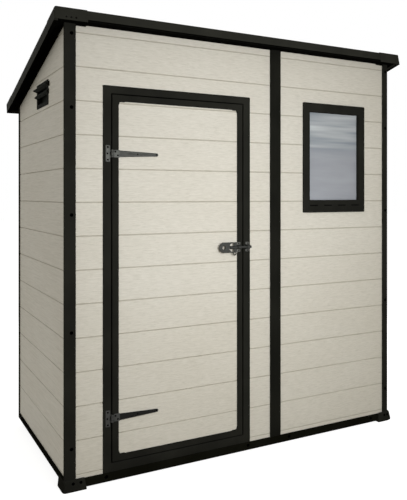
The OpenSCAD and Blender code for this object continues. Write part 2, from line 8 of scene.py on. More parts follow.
import bmesh
import bpy
import numpy as np
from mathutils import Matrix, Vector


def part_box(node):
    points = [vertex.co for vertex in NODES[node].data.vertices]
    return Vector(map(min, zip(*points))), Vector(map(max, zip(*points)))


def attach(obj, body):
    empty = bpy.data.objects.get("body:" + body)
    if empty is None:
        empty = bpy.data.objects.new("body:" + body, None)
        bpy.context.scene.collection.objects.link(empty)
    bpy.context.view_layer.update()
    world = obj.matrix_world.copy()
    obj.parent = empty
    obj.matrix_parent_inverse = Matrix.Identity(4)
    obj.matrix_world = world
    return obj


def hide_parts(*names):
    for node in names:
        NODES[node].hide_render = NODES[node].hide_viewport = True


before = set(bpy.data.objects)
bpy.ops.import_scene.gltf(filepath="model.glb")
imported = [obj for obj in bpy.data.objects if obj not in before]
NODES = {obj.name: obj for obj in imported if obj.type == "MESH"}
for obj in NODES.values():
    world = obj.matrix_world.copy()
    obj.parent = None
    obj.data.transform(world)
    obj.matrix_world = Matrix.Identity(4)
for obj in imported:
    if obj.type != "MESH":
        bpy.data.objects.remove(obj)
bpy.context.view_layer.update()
MM = 0.001


def edges_of(node):
    """The lowest and highest corner of a CAD node as arrays."""
    low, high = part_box(node)
    return np.array(low), np.array(high)


# ------------------------------------------------------------------ surfaces

def grid_faces(rows, cols, close_rows=False, close_cols=True):
    """Quads between neighbours of a rows by cols grid, whose point (i, j) is number i * cols + j.
    A closed direction also joins its last line of points to its first."""
    i = np.arange(rows if close_rows else rows - 1)[:, None]
    j = np.arange(cols if close_cols else cols - 1)[None, :]
    below, beside = (i + 1) % rows, (j + 1) % cols
    corners = [i * cols + j, i * cols + beside, below * cols + beside, below * cols + j]
    return np.stack(np.broadcast_arrays(*corners), -1).reshape(-1, 4).tolist()


def loft(rings, ends=True, looped=False):
    """Closed rings of equally many points, each joined to the next. The first and last are filled
    with flat ends, or joined to each other in a loop."""
    rings = np.asarray(rings, float)
    rows, cols = rings.shape[:2]
    faces = grid_faces(rows, cols, close_rows=looped)
    if ends and not looped:
        faces += [list(range(cols))[::-1], list(range((rows - 1) * cols, rows * cols))]
    return rings.reshape(-1, 3), faces


def joined(parts):
    """Several surfaces as one: each part's faces count on from the points before them."""
    starts = np.cumsum([0] + [len(points) for points, _ in parts])
    faces = [[int(start) + k for k in face] for start, (_, fs) in zip(starts, parts) for face in fs]
    return np.concatenate([points for points, _ in parts]), faces


def rounded_rect(low, high, radius, steps=4):
    """A rectangle whose corners are quarter circles: corner k sweeps from k to k + 1 quarter turns
    about a centre that lies a radius inside both edges."""
    low, high = np.array(low, float), np.array(high, float)
    turn = (np.arange(4)[:, None] + np.linspace(0, 1, steps + 1)) * math.pi / 2
    side = np.array([[1, 1], [-1, 1], [-1, -1], [1, -1]])[:, None, :]
    corner = (low + high) / 2 + side * ((high - low) / 2 - radius)
    return (corner + radius * np.stack([np.cos(turn), np.sin(turn)], -1)).reshape(-1, 2)


def rounding(width, steps=3):
    """A quarter-round edge as (inset, drop) pairs: inset = w (1 - cos t) and drop = w (1 - sin t),
    for t from 0 at the side to a quarter turn at the face."""
    t = np.linspace(0, math.pi / 2, steps + 1)
    return np.stack([width * (1 - np.cos(t)), width * (1 - np.sin(t))], -1)


def front(outline, y):
    """An outline drawn in X and Z, set at depth y."""
    return np.column_stack([outline[:, 0], np.full(len(outline), y), outline[:, 1]])


def plate(low, high, radius, back, face, edge):
    """A plate facing -Y between the corners low and high in X and Z: its outline at the back, then
    drawn in along a quarter round of the edge's width up to its face."""
    low, high = np.array(low), np.array(high)
    rings = [front(rounded_rect(low, high, radius), back)]
    rings += [front(rounded_rect(low + inset, high - inset, max(radius - inset, edge / 4)), face + drop)
              for inset, drop in rounding(edge)]
    return loft(rings)


def moulded_frame(steps):
    """A frame facing -Y: one rounded rectangle for each step (low, high, radius, y), in a loop."""
    return loft([front(rounded_rect(low, high, radius), y) for low, high, radius, y in steps], looped=True)


def turned(profile, around=24):
    """A profile of (radius, height) pairs turned round +Z: each point is (radius times cosine, radius
    times sine, height)."""
    angle = np.arange(around) * 2 * math.pi / around
    radius, height = np.array(profile, float).T
    rings = np.stack([radius[:, None] * np.cos(angle), radius[:, None] * np.sin(angle),
                      np.repeat(height[:, None], around, 1)], -1)
    return loft(rings)


def aimed(surface, axis, place):
    """A surface made round +Z, turned so that +Z points along axis and moved to a place."""
    points, faces = surface
    z = np.array(axis, float) / np.linalg.norm(axis)
    x = np.cross([0.0, 0.0, 1.0] if abs(z[2]) < 0.9 else [0.0, 1.0, 0.0], z)
    x /= np.linalg.norm(x)
    return points @ np.array([x, np.cross(z, x), z]) + np.array(place, float), faces


# ------------------------------------------------------------------ pieces

def piece(name, surface, material, body="shed", replaced=(), crease=35):
    """A mesh object made from a surface. Its faces point outwards and edges over the crease are sharp."""
    points, faces = surface
    mesh = bpy.data.meshes.new(name)
    mesh.from_pydata(points.tolist(), [], faces)
    work = bmesh.new()
    work.from_mesh(mesh)
    bmesh.ops.recalc_face_normals(work, faces=work.faces)
    work.to_mesh(mesh)
    work.free()
    mesh.polygons.foreach_set("use_smooth", np.ones(len(mesh.polygons), bool))
    mesh.set_sharp_from_angle(angle=math.radians(crease))
    made = bpy.data.objects.new(name, mesh)
    bpy.context.scene.collection.objects.link(made)
    made.data.materials.append(material)
    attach(made, body)
    if replaced:
        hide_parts(*replaced)
    return made


def rounded_copy(node, width, material, body="shed", slot=None, level=False, below=None):
    """A copy of a CAD node with its loose triangles merged into whole faces and its edges rounded, or
    only those along X. Faces that look down can take another material, a darker one that is painted shade."""
    source = NODES[node].data
    points = np.empty(len(source.vertices) * 3)
    source.vertices.foreach_get("co", points)
    corners = np.empty(len(source.loops), int)
    source.loops.foreach_get("vertex_index", corners)
    mesh = bpy.data.meshes.new(node + "_moulded")
    mesh.from_pydata(points.reshape(-1, 3).tolist(), [], corners.reshape(-1, 3).tolist())
    work = bmesh.new()
    work.from_mesh(mesh)
    bmesh.ops.remove_doubles(work, verts=work.verts, dist=1e-5)
    bmesh.ops.dissolve_limit(work, angle_limit=math.radians(0.5), verts=work.verts, edges=work.edges)
    work.to_mesh(mesh)
    work.free()
    mesh.polygons.foreach_set("use_smooth", np.ones(len(mesh.polygons), bool))
    mesh.set_sharp_from_angle(angle=math.radians(30))
    made = bpy.data.objects.new(node + "_moulded", mesh)
    bpy.context.scene.collection.objects.link(made)
    made.data.materials.append(material)
    # Painted shade: faces that look down take the darker second material.
    if below:
        made.data.materials.append(below)
        for face in mesh.polygons:
            face.material_index = int(face.normal.z < -0.5)
    if width:
        bevel = made.modifiers.new("rounded edges", "BEVEL")
        bevel.width = width
        bevel.segments = 2
        bevel.harden_normals = True
        bevel.limit_method = "ANGLE"
        bevel.angle_limit = math.radians(30)
        if level:
            ends = np.array([[mesh.vertices[k].co for k in edge.vertices] for edge in mesh.edges])
            run = np.abs(ends[:, 1] - ends[:, 0])
            weight = mesh.attributes.new("bevel_weight_edge", "FLOAT", "EDGE")
            weight.data.foreach_set("value", (run[:, 0] > 0.99 * np.linalg.norm(run, axis=1)).astype(float))
            bevel.limit_method = "WEIGHT"
    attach(made, body)
    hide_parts(node)
    return made


# ------------------------------------------------------------------ finishes

def srgb(red, green, blue):
    """A colour written in 0 to 255 as the linear values that a shader takes."""
    c = np.array([red, green, blue]) / 255
    return (*np.where(c <= 0.04045, c / 12.92, ((c + 0.055) / 1.055) ** 2.4).tolist(), 1.0)


def new_finish(name, colour, roughness, **sockets):
    """A Principled material with its plain values on its own sockets. Returns it with its nodes."""
    made = bpy.data.materials.new(name)
    made.use_nodes = True
    nodes, links = made.node_tree.nodes, made.node_tree.links
    shader = nodes["Principled BSDF"]
    shader.inputs["Base Color"].default_value = colour
    shader.inputs["Roughness"].default_value = roughness
    for socket, value in sockets.items():
        shader.inputs[socket.replace("_", " ")].default_value = value
    return made, nodes, links, shader


def stretched_noise(nodes, links, scale, detail=4.0, roughness=0.55, distortion=0.0):
    """Noise on the object's own coordinates, stretched by a scale for each axis."""
    place = nodes.new("ShaderNodeTexCoord")
    stretch = nodes.new("ShaderNodeMapping")
    stretch.inputs["Scale"].default_value = scale
    noise = nodes.new("ShaderNodeTexNoise")
    noise.inputs["Scale"].default_value = 1.0
    noise.inputs["Detail"].default_value = detail
    noise.inputs["Roughness"].default_value = roughness
    noise.inputs["Distortion"].default_value = distortion
    links.new(place.outputs["Object"], stretch.inputs["Vector"])
    links.new(stretch.outputs["Vector"], noise.inputs["Vector"])
    return noise


def ramp(nodes, links, value, *stops):
    """A colour ramp over a value, with (position, colour) stops."""
    made = nodes.new("ShaderNodeValToRGB")
    while len(made.color_ramp.elements) < len(stops):
        made.color_ramp.elements.new(0.5)
    for element, (position, colour) in zip(made.color_ramp.elements, stops):
        element.position = position
        element.color = colour
    links.new(value, made.inputs["Fac"])
    return made


def bump(nodes, links, shader, height, distance, under=None):
    """Relief of a height from 0 to 1 times a distance, on top of another relief where one is given."""
    made = nodes.new("ShaderNodeBump")
    made.inputs["Distance"].default_value = distance
    links.new(height, made.inputs["Height"])
    if under:
        links.new(under.outputs["Normal"], made.inputs["Normal"])
    links.new(made.outputs["Normal"], shader.inputs["Normal"])
    return made


BOARD = 142.9 * MM  # height of one board
GROOVE_Z = 61 * MM  # height of the lowest groove
GROOVE_SHADE_TONE = (224, 223, 220)  # painted shade: what is left of the colour in the bottom of a groove


def siding_resin():
    """Cream resin pressed with a long, shallow wood grain that runs level along the boards. The colour
    falls off within a few millimetres of each groove: |wrap(z - groove + board / 2, board) - board / 2|.
    That fall-off is painted shade, for the dark in the grooves."""
    made, nodes, links, shader = new_finish("cream siding resin", srgb(214, 209, 196), 0.62,
                                            Specular_IOR_Level=0.25)
    grain = stretched_noise(nodes, links, (26, 8, 230), detail=5, roughness=0.65, distortion=0.8)
    flow = stretched_noise(nodes, links, (1.6, 1.6, 24), detail=3, distortion=1.5)
    cloud = stretched_noise(nodes, links, (1.4, 1.4, 2.2), detail=2)
    tone = ramp(nodes, links, grain.outputs["Fac"], (0.25, srgb(198, 194, 183)),
                (0.5, srgb(213, 209, 199)), (0.75, srgb(223, 219, 210)))
    shade = ramp(nodes, links, cloud.outputs["Fac"], (0.3, srgb(249, 248, 246)), (0.7, srgb(255, 255, 255)))
    mix = nodes.new("ShaderNodeMix")
    mix.data_type = "RGBA"
    mix.blend_type = "MULTIPLY"
    mix.inputs["Factor"].default_value = 1.0
    links.new(tone.outputs["Color"], mix.inputs["A"])
    links.new(shade.outputs["Color"], mix.inputs["B"])
    # Painted shade: the colour darkens within a few millimetres of each groove, where the groove's shade
    # falls.
    split = nodes.new("ShaderNodeSeparateXYZ")
    links.new(nodes["Texture Coordinate"].outputs["Object"], split.inputs[0])
    away = split.outputs["Z"]
    for operation, value in (("SUBTRACT", GROOVE_Z - BOARD / 2), ("WRAP", BOARD), ("SUBTRACT", BOARD / 2),
                             ("ABSOLUTE", 0), ("MULTIPLY", 100)):
        step = nodes.new("ShaderNodeMath")
        step.operation = operation
        step.inputs[1].default_value = value
        step.inputs[2].default_value = 0
        links.new(away, step.inputs[0])
        away = step.outputs[0]
    groove_shade = ramp(nodes, links, away, (0.15, srgb(*GROOVE_SHADE_TONE)), (0.3, srgb(253, 253, 252)),
                (0.7, srgb(255, 255, 255)))
    groove_shaded = nodes.new("ShaderNodeMix")
    groove_shaded.data_type = "RGBA"
    groove_shaded.blend_type = "MULTIPLY"
    groove_shaded.inputs["Factor"].default_value = 1.0
    links.new(mix.outputs["Result"], groove_shaded.inputs["A"])
    links.new(groove_shade.outputs["Color"], groove_shaded.inputs["B"])
    links.new(groove_shaded.outputs["Result"], shader.inputs["Base Color"])
    broad = bump(nodes, links, shader, flow.outputs["Fac"], 0.001)
    bump(nodes, links, shader, grain.outputs["Fac"], 0.0005, under=broad)
    return made


def dark_resin(name, low, high, roughness, specular, grain_scale=900, depth=0.00012):
    """Dark resin with a fine leather grain and slow cloudy changes between two tones."""
    made, nodes, links, shader = new_finish(name, low, roughness, Specular_IOR_Level=specular)
    cloud = stretched_noise(nodes, links, (7, 7, 5), detail=3)
    tone = ramp(nodes, links, cloud.outputs["Fac"], (0.35, low), (0.7, high))
    links.new(tone.outputs["Color"], shader.inputs["Base Color"])
    grain = stretched_noise(nodes, links, (grain_scale,) * 3, detail=2)
    bump(nodes, links, shader, grain.outputs["Fac"], depth)
    return made


def steel(name, low, high, roughness, metallic):
    """Plated steel: brushed along X with a little cloudiness."""
    made, nodes, links, shader = new_finish(name, low, roughness, Metallic=metallic)
    brush = stretched_noise(nodes, links, (60, 400, 900), detail=3)
    cloud = stretched_noise(nodes, links, (45, 45, 45), detail=3)
    tone = ramp(nodes, links, cloud.outputs["Fac"], (0.35, low), (0.7, high))
    links.new(tone.outputs["Color"], shader.inputs["Base Color"])
    bump(nodes, links, shader, brush.outputs["Fac"], 0.00006)
    return made


def pane_finish():
    """A frosted resin pane: calm grey-blue below, and soft level bands of light and shade that fade in
    towards its top with smoothstep((z - 1.42 m) / 0.1 m)."""
    made, nodes, links, shader = new_finish("frosted pane", srgb(165, 168, 174), 0.3,
                                            Specular_IOR_Level=0.3)
    band = stretched_noise(nodes, links, (1.4, 1.4, 20), detail=2, distortion=0.3)
    calm = stretched_noise(nodes, links, (2, 2, 14), detail=3)
    banded = ramp(nodes, links, band.outputs["Fac"], (0.36, srgb(128, 136, 144)),
                  (0.46, srgb(154, 160, 166)), (0.54, srgb(172, 176, 180)), (0.64, srgb(192, 198, 200)))
    plain = ramp(nodes, links, calm.outputs["Fac"], (0.3, srgb(147, 150, 157)),
                 (0.7, srgb(162, 165, 172)))
    split = nodes.new("ShaderNodeSeparateXYZ")
    links.new(nodes["Texture Coordinate"].outputs["Object"], split.inputs[0])
    rise = nodes.new("ShaderNodeMapRange")
    rise.interpolation_type = "SMOOTHSTEP"
    rise.inputs["From Min"].default_value = 1.42
    rise.inputs["From Max"].default_value = 1.52
    links.new(split.outputs["Z"], rise.inputs["Value"])
    mix = nodes.new("ShaderNodeMix")
    mix.data_type = "RGBA"
    links.new(rise.outputs["Result"], mix.inputs["Factor"])
    links.new(plain.outputs["Color"], mix.inputs["A"])
    links.new(banded.outputs["Color"], mix.inputs["B"])
    links.new(mix.outputs["Result"], shader.inputs["Base Color"])
    ripple = stretched_noise(nodes, links, (150, 150, 6), detail=2)
    bump(nodes, links, shader, ripple.outputs["Fac"], 0.0004)
    return made


CREAM = siding_resin()
RAIL = dark_resin("dark rail resin", srgb(17, 17, 12), srgb(24, 24, 19), 0.85, 0.0)
FRAME = dark_resin("dark frame resin", srgb(33, 33, 30), srgb(41, 41, 37), 0.8, 0.0)
MIDDLE = dark_resin("dark middle resin", srgb(26, 26, 23), srgb(33, 33, 29), 0.8, 0.0)
EDGE = dark_resin("dark edge resin", srgb(41, 41, 37), srgb(49, 49, 44), 0.8, 0.03)
ROOF = dark_resin("dark roof resin", srgb(32, 32, 29), srgb(37, 37, 33), 0.8, 0.05, depth=0.0002)
# Painted shade: a near-black copy of the roof and trim resin, for the faces that look down and for the
# tongues under the eaves.
UNDER_ROOF_SHADE = dark_resin("near black painted shade under the roof", srgb(7, 7, 6), srgb(11, 11, 9), 0.9, 0.0)
FLOOR = dark_resin("dark floor resin", srgb(52, 52, 49), srgb(62, 62, 58), 0.6, 0.25)
VENT = dark_resin("black vent resin", srgb(24, 25, 22), srgb(32, 33, 29), 0.85, 0.03)
# Painted shade: near black for the dark in gaps, on the door's edge band and the window's drain slots.
GAP_SHADE = dark_resin("black painted gap shade", srgb(3, 3, 3), srgb(5, 5, 5), 0.9, 0.01)
ZINC = steel("dull zinc plate", srgb(48, 49, 45), srgb(66, 67, 62), 0.5, 0.5)
STRAP_STEEL = steel("dark strap steel", srgb(31, 32, 28), srgb(43, 44, 39), 0.55, 0.4)
# Painted shade: darker copies of the upper hinge's finishes, for the lower hinge, which sits in shade.
SHADED_ZINC = steel("zinc plate with painted shade", srgb(30, 30, 27), srgb(42, 42, 38), 0.6, 0.3)
SHADED_STRAP = dark_resin("strap steel with painted shade", srgb(32, 32, 31), srgb(40, 40, 39), 0.8, 0.03)
DARK_STEEL = steel("dark latch steel", srgb(28, 29, 26), srgb(40, 41, 37), 0.45, 0.5)
# Painted light: a paler copy of the latch steel for the ears, where they catch the light.
LIT_EAR_STEEL = steel("latch steel with painted light", srgb(58, 58, 54), srgb(76, 76, 71), 0.45, 0.5)
SCREW = dark_resin("black screw", srgb(0, 0, 0), srgb(2, 2, 2), 0.9, 0.0)
PANE = pane_finish()


# ------------------------------------------------------------------ base, posts, walls and roof

def rounded_copies(nodes, width, material, slot, body="shed", **more):
    """A rounded copy of each of several nodes, all in one finish."""
    for node in nodes:
        rounded_copy(node, width, material, body, slot, **more)


rounded_copies(["front_base_rail", "rear_base_rail", "left_base_rail", "right_base_rail"],
               2 * MM, RAIL, "black_trim")
rounded_copies(["front_left_post", "front_right_post", "rear_left_post", "rear_right_post"],
               1.5 * MM, FRAME, "black_trim")
rounded_copies(["front_middle_post", "rear_middle_post"], 1.5 * MM, MIDDLE, "black_trim")
rounded_copies(["wall_left_of_door", "wall_over_door", "wall_right_of_door", "window_wall",
                "rear_wall_left", "rear_wall_right"], 1 * MM, CREAM, "cream_siding", level=True)
rounded_copies(["left_wall", "right_wall"], 0, CREAM, "cream_siding")
# Faces that look down on the roof sheets, trims and caps take painted shade.
rounded_copies(["roof_sheet_left", "roof_sheet_right", "roof_joint_strip"], 1.5 * MM, ROOF, "roof_resin",
               below=UNDER_ROOF_SHADE)
rounded_copies(["front_roof_trim", "rear_roof_trim", "left_roof_trim", "right_roof_trim"],
               2 * MM, EDGE, "black_trim", below=UNDER_ROOF_SHADE)
rounded_copies(["roof_corner_caps"], 0.6 * MM, EDGE, "black_trim", below=UNDER_ROOF_SHADE)
rounded_copies(["left_vent", "right_vent"], 0.8 * MM, VENT, "black_trim")
rounded_copies(["door_panel"], 1 * MM, CREAM, "cream_siding", body="door", level=True)
rounded_copies(["door_border"], 1 * MM, FRAME, "black_trim", body="door")
NODES["floor_panel"].data.materials.clear()
NODES["floor_panel"].data.materials.append(FLOOR)


# ------------------------------------------------------------------ screws and feet

def cross_head(radius, rise, around=24):
    """A screw head facing +Z on a grid of turn and radius: a dome rise * (1 - (r / radius)^4) with a
    cross sunk into it where the smaller of |x| and |y| is under the slot's half width."""
    share = np.array([1.0, 1.0, 0.92, 0.75, 0.62, 0.45, 0.3, 0.16, 0.05])[:, None]
    angle = np.arange(around)[None, :] * 2 * math.pi / around
    x, y = radius * share * np.cos(angle), radius * share * np.sin(angle)
    height = rise * (1 - share ** 4) + np.zeros_like(x)
    height[0] = -rise
    sunk = (np.minimum(abs(x), abs(y)) < 0.14 * radius) & (share < 0.7)
    return loft(np.stack([x, y, np.where(sunk, height - 0.8 * rise, height)], -1))


def screws(name, radius, rise, places, axis, material=None, body="shed"):
    """Cross-headed screws at several places, all facing along one axis, as one piece."""
    head = cross_head(radius, rise)
    return piece(name, joined([aimed(head, axis, place) for place in places]), material or SCREW, body)


FOOT_LEAN = 4 * MM  # how much less a skirt stands out at its top than at the ground
FOOT_SLANT = 8 * MM  # how much shorter a skirt is at its top than at the ground, at each end
FOOT_SHOULDER = 9 * MM  # height over which a skirt rounds off at its top
FOOT_W = 98 * MM  # length of a foot along each side
FOOT_SCREWS_Z = 33 * MM  # height of the screws in a foot
FOOT_SCREWS_LEFT = (36 * MM, 68 * MM)  # places of the screws, in from the left corner's edge
FOOT_SCREWS_RIGHT = (8 * MM, 28 * MM)  # the same, in from the right corner's edge


def foot_skirt(length, proud, height):
    """An upright profile carried round a corner whose outer edges start at the origin and run along
    +X and +Y. The profile leans back from the ground and rounds over at its top, and both ends slant:
    at height z the skirt ends length - slant * z / height from the corner."""
    lean = proud - FOOT_LEAN
    outer = [(0, 0), (proud, 0), (proud, 0.1 * height), (lean, height - FOOT_SHOULDER)]
    outer += [(lean - FOOT_SHOULDER * (1 - math.cos(t)) * 0.6, height - FOOT_SHOULDER * (1 - math.sin(t)))
              for t in (0.4, 0.8, 1.2, math.pi / 2)]
    out, up = np.array(outer + [(0, height)]).T
    turn = np.linspace(0, math.pi / 2, 7)
    arc = np.column_stack([-np.cos(turn), -np.sin(turn)])
    ends = length - proud - FOOT_SLANT * up / height
    bend = proud + arc[:, None, :] * (proud + out)[:, None]
    first = np.column_stack([-out, ends])[None]
    last = np.column_stack([ends, -out])[None]
    plan = np.concatenate([first, bend, last])
    return loft(np.dstack([plan, np.broadcast_to(up, plan.shape[:2])]))


def foot_sole(length, thick):
    """A flat sole under the corner: a rounded square drawn in along a quarter round at its edge."""
    edge = 2 * MM
    rings = [(0, 0)] + [(inset, thick - drop) for inset, drop in rounding(edge)]
    outlines = [rounded_rect((inset, inset), (length - inset, length - inset), 4 * MM)
                for inset, _ in rings]
    return loft([np.column_stack([o, np.full(len(o), z)]) for o, (_, z) in zip(outlines, rings)])


def feet():
    """A foot at each front corner. Along X a foot is stretched on both sides of the post's outer edge, so
    that it stands out there as its CAD node does and keeps its length: x * out / proud for x < 0, and
    x * (length - out) / (length - proud) for x > 0."""
    low, high = edges_of("corner_feet")
    post_low, post_high = edges_of("front_left_post")[0], edges_of("front_right_post")[1]
    proud = post_low[1] - low[1]
    points, faces = joined([foot_skirt(FOOT_W, proud, high[2]),
                            foot_sole(FOOT_W - proud, edges_of("front_base_rail")[0][2])])
    parts, marks = [], []
    for side, corner_x, out, screw_places in (
            (-1, post_low[0], post_low[0] - low[0], FOOT_SCREWS_LEFT),
            (1, post_high[0], high[0] - post_high[0], FOOT_SCREWS_RIGHT)):
        stretch = np.where(points[:, 0] < 0, out / proud, (FOOT_W - out) / (FOOT_W - proud))
        foot = points * np.column_stack([-side * stretch, np.ones((len(points), 2))])
        parts.append((foot + [corner_x, post_low[1], 0], faces))
        marks += [(corner_x - side * along, low[1] + FOOT_LEAN / 2, FOOT_SCREWS_Z)
                  for along in screw_places]
    piece("corner_feet_moulded", joined(parts), FRAME, replaced=["corner_feet"])
    screws("foot_screws", 6 * MM, 1.2 * MM, marks, (0, -1, 0))


feet()


# ------------------------------------------------------------------ door frame and window

STOP_T = 12 * MM  # thickness of the door stop
PANE_GRIP = 6 * MM  # how deep the pane sits in its frame
FRAME_LAP = 16 * MM  # width of the window frame on the wall, outside its lining
PANE_RIM = 7 * MM  # width of the pane's flat rim beside the frame
PANE_STEP = 1.2 * MM  # how far the middle of the pane is pressed in
SLOT_PITCH = 88 * MM  # from one drain slot to the next
SLOT_W = 50 * MM  # length of a drain slot
SLOT_DROP = 30 * MM, 25 * MM  # bottom and top of a drain slot under the pane's lower edge


def face_steps(outer, inner, radius, face, edge):
    """The front of a frame as steps (low, high, radius, y): a quarter round in from the outer
    rectangle to the face, then a quarter round back from the face into the inner rectangle."""
    steps = [(outer[0] + inset, outer[1] - inset, max(radius - inset, 0.3 * MM), face + drop)
             for inset, drop in rounding(edge)]
    steps += [(inner[0] - inset, inner[1] + inset, radius / 2 + inset, face + drop)
              for inset, drop in rounding(edge)[::-1]]
    return steps


def in_xz(corner):
    """The X and Z of a corner."""
    return np.array([corner[0], corner[2]])


def door_frame():
    """Jambs, head and threshold as one moulded frame, with the stop standing into the opening."""
    hinge_low, hinge_high = edges_of("hinge_jamb")
    latch_low, latch_high = edges_of("latch_jamb")
    head_low, head_high = edges_of("door_head")
    sill_high = edges_of("door_threshold")[1]
    stop = hinge_high[0] - head_low[0]
    outer = in_xz(hinge_low), in_xz(latch_high)
    inner = np.array([head_low[0], sill_high[2] - stop]), np.array([head_high[0], head_low[2] + stop])
    stop_edge = inner[0] + stop, inner[1] - stop
    front_y, back_y = hinge_low[1], hinge_high[1]
    steps = [(*outer, 5 * MM, back_y), *face_steps(outer, inner, 5 * MM, front_y, 1.5 * MM),
             (*inner, 2 * MM, back_y - STOP_T),
             (stop_edge[0] - MM, stop_edge[1] + MM, 2 * MM, back_y - STOP_T),
             (*stop_edge, 2 * MM, back_y - STOP_T + MM), (*stop_edge, 2 * MM, back_y)]
    piece("door_frame_moulded", moulded_frame(steps), FRAME,
          replaced=["hinge_jamb", "latch_jamb", "door_head", "door_threshold"])


def window():
    """The window's frame with its lining through the wall, its drain slots as black plates of painted
    shade, and a pane whose middle is pressed in a little inside its rim."""
    low, high = edges_of("window_frame")
    pane_low, pane_high = edges_of("window_pane")
    wall_y = edges_of("window_wall")[0][1]
    outer = in_xz(low), in_xz(high)
    inner = in_xz(pane_low) + PANE_GRIP, in_xz(pane_high) - PANE_GRIP
    lap = outer[0] + FRAME_LAP, outer[1] - FRAME_LAP
    steps = [(*outer, 5 * MM, wall_y), *face_steps(outer, inner, 5 * MM, low[1], 2 * MM),
             (*inner, 2.5 * MM, high[1]), (*lap, 2.5 * MM, high[1]), (*lap, 2.5 * MM, wall_y)]
    piece("window_frame_moulded", moulded_frame(steps), FRAME, replaced=["window_frame"])
    # Painted shade: each drain slot is a thin near-black plate on the frame's face, for the dark inside the
    # slot.
    slots = [plate((inner[0][0] + along, inner[0][1] - SLOT_DROP[0]),
                   (inner[0][0] + along + SLOT_W, inner[0][1] - SLOT_DROP[1]),
                   2 * MM, low[1] + MM, low[1] - 0.2 * MM, 0.3 * MM) for along in np.arange(4) * SLOT_PITCH]
    piece("window_drain_slot_shade", joined(slots), GAP_SHADE)
    rim = PANE_GRIP + PANE_RIM
    levels = [(0, pane_high[1]), (0, pane_low[1]), (rim, pane_low[1]),
              (rim + PANE_STEP, pane_low[1] + PANE_STEP)]
    rings = [front(rounded_rect(in_xz(pane_low) + inset, in_xz(pane_high) - inset, 2.5 * MM), y)
             for inset, y in levels]
    piece("window_pane_pressed", loft(rings), PANE, replaced=["window_pane"], crease=25)


def door_gap_shade():
    """The border's return round the door panel's edge: a thin band from the face to the panel's back,
    in near black as painted shade for the gap round the leaf.
    """
    low, high = edges_of("door_panel")
    skin = 0.6 * MM
    outer = in_xz(low) - skin, in_xz(high) + skin
    inner = in_xz(low) + skin, in_xz(high) - skin
    steps = [(*outer, MM, low[1] - 0.5 * MM), (*outer, MM, high[1]), (*inner, MM, high[1]),
             (*inner, MM, low[1] - 0.5 * MM)]
    # Painted shade: the band is near black, for the gap round the leaf.
    piece("door_edge_shade_band", moulded_frame(steps), GAP_SHADE, body="door")


TONGUE_W = 44 * MM  # width of the tongue beside a post's head
TONGUE_H = 5.5 * MM  # how far it hangs below the soffit
TONGUE_T = 3 * MM  # how far it stands out from the wall


def head_tongues():
    """A low tongue beside the head of each front corner post, on the wall and up against the soffit."""
    wall_low, wall_high = edges_of("window_wall")
    starts = edges_of("front_left_post")[1][0] - MM, edges_of("front_right_post")[0][0] - TONGUE_W + MM
    tongues = [plate((start, wall_high[2] - TONGUE_H), (start + TONGUE_W, wall_high[2] + 2 * MM), MM,
                     wall_low[1] + MM, wall_low[1] - TONGUE_T, 0.5 * MM) for start in starts]
    # The tongues are real flanges, coloured with the near-black painted shade of the undersides.
    piece("post_head_tongues", joined(tongues), UNDER_ROOF_SHADE)


door_frame()
door_gap_shade()
window()
head_tongues()


# ------------------------------------------------------------------ fixings

FRONT_POST_ZS = [175 * MM, 660 * MM, 1152 * MM, 1602 * MM, 1911 * MM]  # screws up the front posts
REAR_POST_ZS = [175 * MM, 620 * MM, 1065 * MM, 1510 * MM]  # screws up the rear posts
FRONT_RAIL_XS = [-692 * MM, -2 * MM, 232 * MM, 754 * MM]  # screws along the front rail
REAR_RAIL_XS = [-754 * MM, -232 * MM, 232 * MM, 754 * MM]  # screws along the rear rail
LEFT_POST_SCREW = 31 * MM  # from the left post's outer edge to its screws
RIGHT_POST_SCREW = 15 * MM  # from the right post's outer edge to its screws
CAP_XS = [-871 * MM, -851 * MM, -831 * MM]  # screws in the roof's left front cap
CAP_SCREW_UP = 5 * MM  # their height above the trim's lower edge
ROOF_LEAN = math.tan(math.radians(13.4))  # how far the trim's face leans back for each metre down


def frame_screws():
    """Screws down each corner post, along the long rails and in the roof's left front cap."""
    left, right = edges_of("front_left_post"), edges_of("front_right_post")
    radius, rise = 7.5 * MM, 1.5 * MM
    front_y, rear_y = left[0][1], edges_of("rear_left_post")[1][1]
    xs = left[0][0] + LEFT_POST_SCREW, right[1][0] - RIGHT_POST_SCREW
    screws("front_post_screws", radius, rise, [(x, front_y, z) for x in xs for z in FRONT_POST_ZS],
           (0, -1, 0))
    screws("rear_post_screws", radius, rise, [(x, rear_y, z) for x in xs for z in REAR_POST_ZS], (0, 1, 0))
    rail_low, rail_high = edges_of("front_base_rail")
    z = (rail_low[2] + rail_high[2]) / 2 + 4 * MM
    screws("front_rail_screws", radius, rise, [(x, rail_low[1], z) for x in FRONT_RAIL_XS], (0, -1, 0))
    z = sum(corner[2] for corner in edges_of("rear_base_rail")) / 2
    screws("rear_rail_screws", radius, rise, [(x, rear_y, z) for x in REAR_RAIL_XS], (0, 1, 0))
    trim_low = edges_of("front_roof_trim")[0]
    cap_y = trim_low[1] + CAP_SCREW_UP * ROOF_LEAN - 2.2 * MM
    screws("cap_screws", 4 * MM, MM, [(x, cap_y, trim_low[2] + CAP_SCREW_UP) for x in CAP_XS],
           (0, -1, ROOF_LEAN))


frame_screws()


# ------------------------------------------------------------------ hinges

KNUCKLE_R = 6 * MM  # radius of the barrel round a pin
STRAP_TIP_R = 7 * MM  # radius of a strap's round tip
PLATE_T = 3 * MM  # thickness of the plates of hinges and latch


